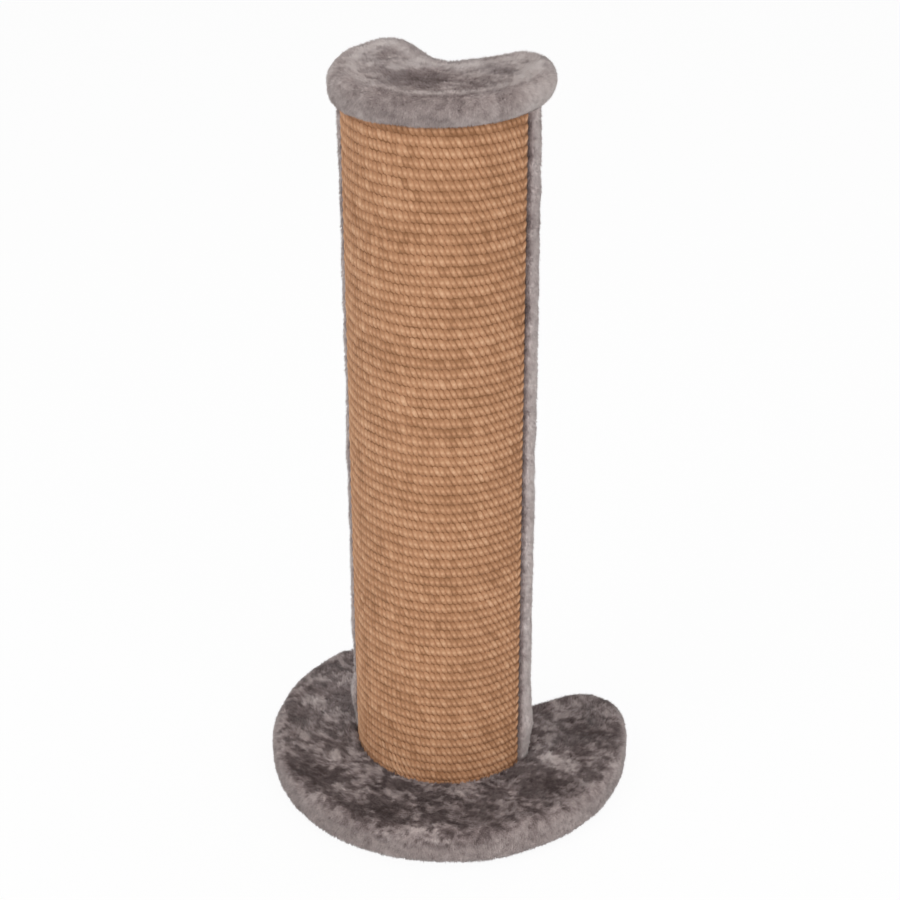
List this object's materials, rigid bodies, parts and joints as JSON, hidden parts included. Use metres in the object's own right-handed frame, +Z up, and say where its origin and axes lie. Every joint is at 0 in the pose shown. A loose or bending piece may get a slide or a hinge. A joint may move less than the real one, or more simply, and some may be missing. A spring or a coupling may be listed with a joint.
{
  "type": "corner cat scratcher",
  "caption": "Upright cat scratcher for an outside wall corner: a sisal-fronted D-shaped column between two plush plates with V notches at the back.",
  "frame": {"origin": "middle of the object's box on the floor: x = 0 is the plane of symmetry, y = 0 the middle of the base's depth", "axes": "+Z up along the column; the sisal front faces -Y; the notches for the wall corner open towards +Y"},
  "size_m": [0.255, 0.1997, 0.52],
  "materials": {
    "plush": "grey-brown short pile plush, soft and mottled by the lie of the pile",
    "sisal": "tan woven sisal in fine level rows",
    "board": "raw fibreboard",
    "pine": "sawn pine",
    "hardboard": "brown hardboard",
    "lining": "black non-woven lining",
    "steel": "zinc plated steel"
  },
  "bodies": {
    "root": {"base_lining": "lining", "base_cover": "plush", "base_board": "board", "base_staples": "steel", "base_bolts": "steel", "base_washers": "steel", "tee_nuts": "steel", "lower_former": "board", "middle_former": "board", "upper_former": "board", "left_post": "pine", "right_post": "pine", "post_screws": "steel", "front_shell": "hardboard", "shell_nails": "steel", "back_panel": "hardboard", "panel_screws": "steel", "column_cover": "plush", "sisal_mat": "sisal", "mat_staples": "steel", "top_screws": "steel", "top_board": "board", "top_cover": "plush", "top_staples": "steel"}
  },
  "joints": []
}
